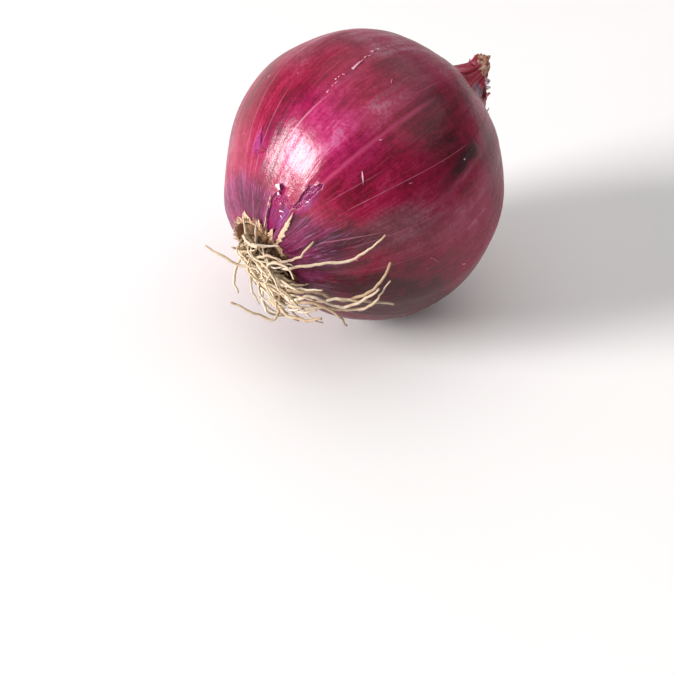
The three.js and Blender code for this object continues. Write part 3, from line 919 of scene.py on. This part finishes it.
flakes = {
    "seed": 5,
    "chips": [      # side, reach, heading, length, width, rise, cup, taper, rag, tone
        # the purple chip
        (168.2, 31, 6, 3.2, 3, 0.06, 0, 4, 0.35, 0.11),
        (170.8, 31.2, 76, 2.8, 2.4, 0.1, 0, 1, 0.15, 0),
        (167.6, 34.4, 2, 2.6, 0.6, 0.05, 0, 3, 0.4, 0.16),
        # the white chip at the tear
        (193.4, 25.6, 12, 2.2, 1.7, 0.5, 0.2, 3, 0.3, 0.9),
        (196.5, 24.4, -20, 1.1, 0.7, 0.4, 0.1, 2, 0.3, 0.8),
        # the row along the top
        (186.8, 62.4, -8, 4.2, 1.1, 0.2, 0.1, 3, 0.4, 0.68),
        (188.2, 49.4, 10, 1, 0.4, 0.15, 0, 2, 0.4, 0.6),
        (187.4, 52.8, -5, 1.2, 0.45, 0.2, 0, 2, 0.4, 0.7),
        (187, 56.2, 6, 0.9, 0.4, 0.15, 0, 2, 0.4, 0.6),
        (186.8, 59.6, 2, 0.7, 0.3, 0.1, 0, 2, 0.4, 0.5),
        (185.2, 67.8, -3, 1, 0.3, 0.1, 0, 2, 0.4, 0.6),
        (184.2, 70.8, 8, 1.2, 0.4, 0.12, 0, 2, 0.4, 0.6),
        # on the flank that faces the camera
        (220, 45.8, 122, 3.2, 0.26, 0, 0, 3, 0.3, 0.7),
        (266, 50.3, 50, 3.6, 0.3, 0.1, 0, 3, 0.4, 0.5),
        (268, 51.6, 62, 2.2, 0.25, 0.1, 0, 2, 0.3, 0.45),
        (281, 59.8, 30, 1.5, 0.5, 0.1, 0, 2, 0.3, 0.6),
        (275, 70.2, 20, 1.3, 0.4, 0.1, 0, 2, 0.3, 0.5),
        # in the tear: pale specks as painted glints of light on the wet scale
        (203, 21, 60, 1.5, 0.32, 0.2, 0, 2, 0.3, 0.95),
        (205.5, 20.1, 100, 1.1, 0.26, 0.2, 0, 2, 0.3, 0.9),
        (200.6, 22.6, 20, 0.9, 0.25, 0.15, 0, 2, 0.3, 0.85),
        (213.6, 29, 20, 0.8, 0.42, 0.12, 0, 2, 0.3, 0.9),
        # a dark red spot and a speck in the blot
        (128, 12.4, 0, 1.7, 1.6, 0, 0, 3, 0.2, 0.02),
        (241, 71, 20, 0.5, 0.4, 0.1, 0, 2, 0.2, 0.9),
    ],
    "row": (16, 189.2, 42, 184.3, 73),      # count, then side and reach of its two ends
    "scattered": 60,
    "small": dict(low=0.04, thick=0.06, rag=0.4, rows=6, columns=4),
}


def flakeMaterial():
    material, tree, shader = newFinish("paleFlake", Specular_IOR_Level=0.2, Roughness=0.5)
    grain = noise(objectSpace(tree), 900, 3, 0.6)
    tones = [(0, "#800a34"), (0.12, "#8c1862"), (0.5, "#c76d8c"), (0.9, "#f0cfd8")]
    colour = colourRun(mark(tree, "tone"), tones)
    colour = overlay(colour, (grain, 0.4, 0.7, 0.25, "#b4577c"))
    join(shader, Base_Color=colour, Normal=bump(grain, 0.4, 0.0002))
    return material


def makeFlakes(finish):
    rng = np.random.default_rng(flakes["seed"])
    sheets = []
    for *shape, tone in flakes["chips"]:
        sheets.append(strip(rng, *shape, low=0.05, thick=0.08) + (tone,))
    count, side0, reach0, side1, reach1 = flakes["row"]
    for _ in range(count):
        share = rng.uniform(0, 1)
        side = between((side0, side1), share) + rng.normal(0, 0.5)
        made = strip(rng, side, between((reach0, reach1), share), rng.normal(0, 20),
                     rng.uniform(0.3, 1.1), rng.uniform(0.15, 0.4), 0.08, **flakes["small"])
        sheets.append(made + (rng.uniform(0.5, 0.9),))
    for _ in range(flakes["scattered"]):
        made = strip(rng, rng.uniform(0, 360), rng.uniform(28, 88), rng.normal(0, 25),
                     rng.uniform(0.5, 1.5), rng.uniform(0.15, 0.35), rng.uniform(0.02, 0.1),
                     **flakes["small"])
        tone = rng.uniform(0.3, 0.8)
        if made[1][..., 2].min() > 0.2:      # none under the flat spot
            sheets.append(made + (tone,))
    return makeSheets("skin_flakes", sheets, finish, "bulb_skin")


# Root plate and roots

plate = {"radius": 9.6, "floor": -33.4, "edge": -35.7, "crown": -37.6, "bumps": 0.22, "columns": 72}

roots = {
    "seed": 7,
    "count": 30,
    "turn": 2.39996,           # from each root to the next round the plate
    "plateRadius": 9.5,
    "inset": 1.4,
    "start": -35.8,
    "side": 285,
    "spread": 40,
    "bend": (2.2, 5.5),
    "length": (10, 25),
    "curl": (0.15, 0.6),
    "waves": (0.6, 1.8),
    "clear": 2.1,
    "stops": 8,
    "endDepth": 37.6,
    "thick": (0.29, 0.4),      # radius of the roots
    "longThick": 0.4,
    "fine": 92,                # thinner ones between them
    "fineSeed": 19,
    "fineThick": (0.23, 0.34),
    "stray": 7.6,              # roots that reach further than this to one side are left off
    "leftOff": (21, 22),       # and these, which would hang or loop out of the tuft
    "fineLeftOff": (22, 27, 31, 41, 65, 69, 81, 85, 89, 90, 91),
    "step": 0.55,
    "sides": 8,
}

longRoots = [
    [(-2, -4, -37), (-1, -2, -41), (-2, 1.5, -44), (-4.5, 5.5, -46), (-7, 9.5, -47.5)],
    [(-3, -6, -37), (-6, -13, -39), (-8, -18, -36.5), (-9.5, -23, -33), (-10.5, -28, -29.5),
     (-13.5, -32.5, -26), (-19.5, -37.5, -21.5)],
    [(-1, -4, -37), (-4, -6, -41), (-7, -10, -40), (-9, -14.5, -38), (-11.5, -18, -36), (-17, -22, -33)],
    [(3, -6, -37), (1, -14, -40), (0, -21, -36.5), (3.5, -25, -33), (1.5, -30.5, -29.5),
     (-4.5, -36, -26), (-13, -40, -23.5)],
    [(5, -5, -37), (4, -14, -41), (1, -21, -37.5), (5, -26.5, -33.5), (1, -32.5, -29), (-4, -37, -27)],
    [(6, -3, -37), (8, -12, -40.5), (6, -22, -36), (7, -27, -32), (4, -33, -28.5), (-7, -39.5, -25)],
    [(6, -5, -37), (5, -17, -39), (2, -26, -33.5), (3.5, -32, -28.5), (4.5, -37, -24)],
    [(6, 2, -36.5), (9, -5, -42), (8.5, -11, -43.5), (9.5, -11.5, -46), (8, -8.5, -48), (6, -5, -50),
     (4, -2, -51.5)],
    [(5, -6, -37), (8, -12, -43), (9, -18, -41.5), (6.5, -24, -39)],
    [(4, -7, -37), (4, -15, -41), (3, -21, -38), (6, -27, -35.5), (9, -29.5, -35)],
    [(-3, 2, -37), (-4, 3, -40.5), (-5.5, 4.5, -42.5)],
]

stubs = [      # short ends that lie up over the dry skin
    [(-5, 1, -37.2), (-8.5, 1.8, -38.6), (-11, 2.4, -38), (-13, 3.2, -37)],
    [(-5, -1.5, -37.2), (-9, -2.2, -38.6), (-11.5, -2.4, -37.8), (-13.8, -1.8, -36.6)],
]


def steadyRandom(seed):      # the same run of numbers wherever it is worked out
    state = seed
    while True:
        state = (state * 1664525 + 1013904223) % 4294967296
        yield state / 4294967296


def tuftRoute(index, count, draw, calm=1.0):
    turn = index * roots["turn"]
    startRadius = (roots["plateRadius"] - roots["inset"]) * math.sqrt((index + 0.5) / count)
    point = np.array([startRadius * math.cos(turn), startRadius * math.sin(turn), roots["start"]])
    heading = math.radians(roots["side"] + roots["spread"] * (2 * next(draw) - 1))
    bend = np.array([math.cos(heading), math.sin(heading), 0.7 * next(draw)])
    bend *= between(roots["bend"], next(draw))
    length = between(roots["length"], next(draw) ** 1.5)
    curl = between(roots["curl"], next(draw)) * calm
    waves = between(roots["waves"], next(draw))
    phases = np.array([2 * math.pi * next(draw) for _ in range(3)])
    heads = np.array([math.cos(turn), math.sin(turn), -2.0])
    heads /= np.linalg.norm(heads)
    route = [point]
    for stop in range(1, roots["stops"] + 1):
        swing = 2 * math.pi * waves * stop / roots["stops"]
        heads = heads + curl * np.cos(phases + swing) + bend / roots["stops"]
        heads /= np.linalg.norm(heads)
        point = point + heads * length / roots["stops"]
        far = math.hypot(point[0], point[1]) / bulb["radius"]
        skinHeight = -roots["endDepth"] * math.sqrt(max(0.05, 1 - far ** 2))
        point[2] = min(point[2], skinHeight - roots["clear"])
        route.append(point)
    return np.array(route)


def smoothRoute(route, gap):
    route = np.asarray(route, float)
    chords = np.sqrt(np.linalg.norm(np.diff(route, axis=0), axis=1))
    knots = np.concatenate([[0], np.cumsum(chords)])
    slopes = np.gradient(route, knots, axis=0)
    length = np.linalg.norm(np.diff(route, axis=0), axis=1).sum()
    fine = np.linspace(0, knots[-1], max(8, int(length / gap)))
    piece = np.clip(np.searchsorted(knots, fine, side="right") - 1, 0, len(route) - 2)
    width = (knots[piece + 1] - knots[piece])[:, None]
    t = ((fine - knots[piece]) / width[:, 0])[:, None]
    start = (2 * t ** 3 - 3 * t ** 2 + 1) * route[piece] + (t ** 3 - 2 * t ** 2 + t) * width * slopes[piece]
    end = (3 * t ** 2 - 2 * t ** 3) * route[piece + 1] + (t ** 3 - t ** 2) * width * slopes[piece + 1]
    return start + end


def rootTube(line, radius, rng):
    # a knobbly tapering tube; returns its points and faces, and how far along each point is
    count, sides = len(line), roots["sides"]
    share = np.linspace(0, 1, count)

    def uneven(knots):
        return np.interp(share, np.linspace(0, 1, knots), rng.normal(0, 1, knots))

    for axis in range(3):
        line[:, axis] += 0.13 * uneven(count // 3 + 3) * ease(share, 0, 0.15)
    knobs = 1 + 0.07 * uneven(count // 2 + 2)
    taper = (1.15 - 0.2 * share - 0.45 * ease(share, 0.7, 1.0) * rng.uniform(0.2, 1)) * knobs
    heads = np.gradient(line, axis=0)
    heads /= np.linalg.norm(heads, axis=1)[:, None]
    beside = np.cross(heads[0], [0.3, 0.5, 0.81])
    turn = 2 * math.pi * np.arange(sides)[:, None] / sides
    rings = []
    for spot, head, size in zip(line, heads, taper * radius):
        beside = beside - head * (beside @ head)
        beside /= np.linalg.norm(beside)
        rings.append(spot + size * (np.cos(turn) * beside + 0.86 * np.sin(turn) * np.cross(head, beside)))
    rings.append(np.repeat((line[-1] + heads[-1] * radius * 0.4)[None, :], sides, axis=0))
    faces = gridFaces(count + 1, sides, True)[:, ::-1]
    return np.concatenate(rings), faces, np.repeat(np.linspace(0, 1, count + 1), sides)


def rootMaterial():
    material, tree, shader = newFinish("dryRootFibre", Roughness=0.72, Sheen_Weight=0.1)
    flat, along = objectSpace(tree), mark(tree, "along")
    grain = noise(flat, 1100, 3, 0.6)
    blotch = noise(flat, 260, 3, 0.5)
    shade = scaled(blotch, 0.55, scaled(mark(tree, "tone"), 0.45))
    colour = colourRun(shade, [(0.25, "#ab8f6e"), (0.5, "#d8c6a8"), (0.75, "#efe5d2")])
    colour = overlay(colour, (grain, 0.5, 0.75, 0.35, "#a48258"))
    # darker near the plate, where the roots crowd: painted shade
    colour = mix(scaled(mark(tree, "low"), 0.5), colour, "#8a6644")
    colour = overlay(colour, (along, 0.22, 0.0, 0.8, "#6b4526"), (along, 0.9, 1.0, 0.35, "#8a6238"))
    join(shader, Base_Color=colour, Normal=bump(grain, 0.5, 0.0002))
    return material


def makeRoots(finish):
    rng = np.random.default_rng(roots["fineSeed"])
    lines = []
    draw = steadyRandom(roots["seed"])
    for index in range(roots["count"]):
        route = tuftRoute(index, roots["count"], draw)
        radius = rng.uniform(*roots["thick"])
        if route[:, 1].max() < roots["stray"] and index not in roots["leftOff"]:
            lines.append((route, radius))
    for route in longRoots + stubs:
        lines.append((route, roots["longThick"]))
    draw = steadyRandom(roots["fineSeed"])
    for index in range(roots["fine"]):
        route = tuftRoute(index, roots["fine"], draw, 0.8)[:7 + index % 3]
        if route[:, 1].max() < roots["stray"] and index not in roots["fineLeftOff"]:
            lines.append((route, rng.uniform(*roots["fineThick"])))
    parts = []
    for route, radius in lines:
        tube, faces, along = rootTube(smoothRoute(route, roots["step"]), radius, rng)
        # low is highest near the plate, and carries painted shade there
        marks = {"along": along, "low": ease(tube[:, 2], -42, -37.5),
                 "tone": np.full(len(tube), rng.uniform(0.1, 0.9))}
        parts.append((layDown(*tube.T), faces, marks))
    piece = meshPiece("root_tuft", *joined(parts), finish, "root_fibre")
    print("roots:", len(lines), "of them")
    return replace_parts(piece, "roots")


def plateMaterial():
    material, tree, shader = newFinish("corkyRootPlate", Roughness=0.85)
    cork = noise(objectSpace(tree), 520, 5, 0.7, 0.4)
    colour = colourRun(cork, [(0.3, "#2b1a12"), (0.5, "#5d3d26"), (0.72, "#a07a4e")])
    join(shader, Base_Color=colour, Normal=bump(cork, 0.9, 0.0006))
    return material


def makePlate(finish):
    radius, edge = plate["radius"], plate["edge"]
    turns = np.linspace(0, math.pi / 2, 12)[1:-1]
    crown = edge + (plate["crown"] - edge) * np.sin(turns)
    radii = np.concatenate([[radius * 0.9, radius], radius * np.cos(turns), [0.01]])
    heights = np.concatenate([[plate["floor"], edge], crown, [plate["crown"]]])
    columns = plate["columns"]
    side = np.repeat((np.arange(columns) * 360 / columns)[None, :], len(radii), axis=0)
    radii = np.repeat(radii[:, None], columns, axis=1)
    heights = np.repeat(heights[:, None], columns, axis=1)
    uneven = ripples(side, radii * 3, 31, 9, (3, 19), (0.02, 0.12))
    heights = heights - plate["bumps"] * uneven * ease(radii, 0.5, 3)
    points = place(side, radii + 0.12 * uneven * ease(radii, 6, 9), heights).reshape(-1, 3)
    faces = gridFaces(len(radii), columns, True)[:, ::-1]
    return meshPiece("root_plate", points, faces, {}, finish, "root_fibre")


# Inner leaf bases in the neck, and the shards of skin about it

layers = {
    "seed": 61,
    "columns": 150,
    "rows": 16,
    "bottom": 39.2,
    "thick": 0.22,
    "sheets": [      # inset, rim height, slope, slope side, fold size, tone
        (0.85, 45.8, 2.7, 165, 0.16, 0.35),
        (1.5, 44.9, 2.2, 190, 0.22, 0.7),
        (2.15, 45.3, 1.4, 120, 0.26, 0.5),
        (2.8, 44.1, 1.2, 230, 0.26, 0.8),
        (3.5, 43.5, 0.8, 60, 0.2, 0.6),
    ],
    "shards": [      # side, height, heading, length, width, rise, cup, taper, tone
        (243, 43.8, 15, 1.7, 1, 0.3, 0.3, 3, 1),
        (254, 43.4, 30, 1.5, 1, 0.5, 0.2, 3, 1),
        (236, 44.8, 50, 1.2, 0.8, 0.4, 0.2, 3, 0.85),
        (266, 41.6, 10, 2, 1.2, 0.7, 0.2, 4, 0.68),
        (286, 37.4, -10, 3.4, 1.1, 0.9, 0.2, 2, 0.15),
        (146, 36.6, 10, 2, 1, 1, 0.2, 2, 0.1),
        (168, 45.4, 10, 1.4, 1, 0.2, 0.2, 3, 0.66),
        (120, 46, -10, 2.4, 1.6, 0.5, 0.2, 2, 0.5),
        (60, 44.4, 8, 2.8, 1.5, 0.6, 0.2, 2, 0.4),
        (10, 42.5, -12, 2.2, 1.4, 0.5, 0.2, 2, 0.7),
        (330, 40.4, 10, 2.4, 1.4, 0.6, 0.2, 2, 0.3),
    ],
}


def layerMaterial():
    material, tree, shader = newFinish("dryNeckLeaf", Roughness=0.6, Sheen_Weight=0.15)
    around = mark(tree, "around", "Vector")
    fibres = noise(stretch(around, (16, 16, 3.0)), 1, 5, 0.7, 0.3)
    spots = noise(objectSpace(tree), 380, 4, 0.6)
    tones = [(0.1, "#5d2434"), (0.35, "#96707c"), (0.6, "#b07a60"), (0.9, "#cfa890")]
    colour = colourRun(mark(tree, "tone"), tones)
    colour = overlay(colour, (fibres, 0.4, 0.65, 0.6, "#5b3a30"), (spots, 0.5, 0.7, 0.5, "#d2b3a4"))
    join(shader, Base_Color=colour, Normal=bump(fibres, 0.7, 0.0004))
    return material


def makeLayers(finish):
    columns, rows, bottom = layers["columns"], layers["rows"], layers["bottom"]
    angles = np.arange(columns) * 360 / columns
    side = np.repeat(angles[None, :], rows, axis=0)
    share = np.linspace(0, 1, rows)[:, None]
    count = rows * columns
    ids = np.arange(columns) + count - columns
    after = np.roll(ids, -1)
    quads = gridFaces(rows, columns, True)
    rimFaces = np.stack([ids, after, after + count, ids + count], axis=1)
    faces = np.concatenate([quads, quads[:, ::-1] + count, rimFaces])
    parts = []
    for number, (inset, rim, slope, slopeSide, fold, tone) in enumerate(layers["sheets"]):
        top = rim + slope * np.cos(np.radians(angles) - math.radians(slopeSide))
        top = top + 0.35 * ripples(angles, 0 * angles, 70 + number, 6, (3, 26), (0, 0))
        height = bottom + (top - bottom) * share
        reach = reachAtHeight(height)
        folds = fold * ripples(side, height, 80 + number, 4, (3, 9), (0.0, 0.06))
        lift = neckFolds(side, height) * 0.7 - inset + folds
        walls = [overSkin(side, reach, lift - depth).reshape(-1, 3) for depth in (0, layers["thick"])]
        marks = {"around": np.tile(aroundMark(side, reach, number).reshape(-1, 3), (2, 1)),
                 "tone": np.full(2 * count, tone)}
        parts.append((np.concatenate(walls), faces, marks))
    piece = meshPiece("neck_layers", *joined(parts), finish, "neck_leaf")
    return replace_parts(piece, "neck_leaves")


def shardMaterial():
    material, tree, shader = newFinish("neckShard", Roughness=0.5, Coat_Weight=0.1)
    grain = noise(objectSpace(tree), 700, 4, 0.6)
    tones = [(0.1, "#3a1220"), (0.35, "#8a3a50"), (0.66, "#d8607c"), (0.95, "#f2dde4")]
    colour = colourRun(mark(tree, "tone"), tones)
    colour = overlay(colour, (grain, 0.45, 0.7, 0.35, "#8b4a58"))
    join(shader, Base_Color=colour, Normal=bump(grain, 0.5, 0.0003))
    return material


def makeShards(finish):
    rng = np.random.default_rng(layers["seed"])
    sheets = []
    for side, height, *shape, tone in layers["shards"]:
        made = strip(rng, side, reachAtHeight(height), *shape, low=0.25, thick=0.16, rag=0.35)
        sheets.append(made + (tone,))
    return makeSheets("neck_shards", sheets, finish, "neck_leaf")


makeSkin(skinMaterial())
makeInnerScale(innerScaleMaterial())
makeFringe(fringeMaterial())
makeFlakes(flakeMaterial())
makePlate(plateMaterial())
makeRoots(rootMaterial())
makeLayers(layerMaterial())
makeShards(shardMaterial())
print("onion made")

# Floor, lights and camera

studio = {
    "floor": ("#fdfdfc", "#fafaf8"),
    "floorSize": 12.0,
    "floorDrop": 0.00005,      # metres under the onion
    "lights": {      # direction, distance, size, watts, tint
        "keyLight": ((-0.926, 0.433, 0.362), 2.4, (0.88, 1.15), 72, (1, 0.965, 0.975)),
        "topLight": ((0.334, 0.018, 0.942), 2.4, (5, 5), 36, (1, 0.985, 0.985)),
    },
    "aimHeight": 0.04,
    "surround": (1, 0.985, 0.985, 1),
    "backdropSide": (0.45, 0.88, 0.1),      # the surround is brightest here, behind the bulb
    "backdrop": 0.3,
    "room": 0.12,
    "exposure": 0.37,
}


def makeFloor():
    size, drop = studio["floorSize"], -studio["floorDrop"]
    corners = [(-size, -size, drop), (size, -size, drop), (size, size, drop), (-size, size, drop)]
    mesh = bpy.data.meshes.new("floor")
    mesh.from_pydata(corners, [], [(0, 1, 2, 3)])
    material, tree, shader = newFinish("paleFloor", Roughness=0.75)
    haze = noise(objectSpace(tree), 6, 2, 0.5)
    join(shader, Base_Color=mix(remap(haze, 0.3, 0.7), *studio["floor"]))
    mesh.materials.append(material)
    floor = bpy.data.objects.new("floor", mesh)
    bpy.context.scene.collection.objects.link(floor)


def softbox(name, direction, far, size, power, tint):
    light = bpy.data.lights.new(name, "AREA")
    light.shape = "ELLIPSE"
    light.size, light.size_y = size
    light.energy = power
    light.color = tint
    lamp = bpy.data.objects.new(name, light)
    way = Vector(direction).normalized()
    lamp.location = Vector((0, 0, studio["aimHeight"])) + way * far
    lamp.rotation_euler = way.to_track_quat("Z", "Y").to_euler()
    bpy.context.scene.collection.objects.link(lamp)


def makeStudio():
    for name, made in studio["lights"].items():
        softbox(name, *made)
    world = bpy.data.worlds.new("paleSurround")
    world.use_nodes = True
    tree = world.node_tree
    background = tree.nodes["Background"]
    way = addNode(tree, "ShaderNodeTexCoord").outputs["Generated"]
    inputs = {0: way, 1: studio["backdropSide"]}
    facing = addNode(tree, "ShaderNodeVectorMath", inputs, operation="DOT_PRODUCT").outputs["Value"]
    background.inputs["Color"].default_value = studio["surround"]
    join(background, Strength=remap(facing, 0.4, 1.0, studio["room"], studio["backdrop"]))
    bpy.context.scene.world = world
    display = bpy.context.scene.view_settings
    display.view_transform = "Standard"
    display.exposure = studio["exposure"]


# The camera looks down 34 degrees from the root end's side; the bulb sits above the middle

view = {
    "lens": 85,
    "sensor": 36,
    "pixels": 674,
    "clip": (0.01, 20),
    "towards": (-0.55005, -0.62028, 0.55919),
    "across": -41.566,             # heading of the picture's right side, in degrees
    "pixelSize": 40 / 144.7,       # mm at the bulb's middle
    "right": 25.0,                 # pixels from the picture's middle to the bulb's
    "up": 161.0,
}


def makeCamera():
    camera = bpy.data.cameras.new("camera")
    camera.lens = view["lens"]
    camera.sensor_width = view["sensor"]
    camera.clip_start, camera.clip_end = view["clip"]
    eye = bpy.data.objects.new("camera", camera)
    towards = Vector(view["towards"]).normalized()
    turn = math.radians(view["across"])
    right = Vector((math.cos(turn), math.sin(turn), 0))
    up = towards.cross(right)
    up = up if up.z > 0 else -up
    middle = Vector(bulb["middle"])
    pixel = view["pixelSize"]
    spot = middle + towards * (pixel * view["pixels"] * view["lens"] / view["sensor"])
    aim = middle - right * view["right"] * pixel - up * view["up"] * pixel
    eye.location = spot * 0.001
    eye.rotation_euler = (aim - spot).to_track_quat("-Z", "Y").to_euler()
    bpy.context.scene.collection.objects.link(eye)
    bpy.context.scene.camera = eye


makeFloor()
makeStudio()
makeCamera()
print("floor, lights and camera placed")
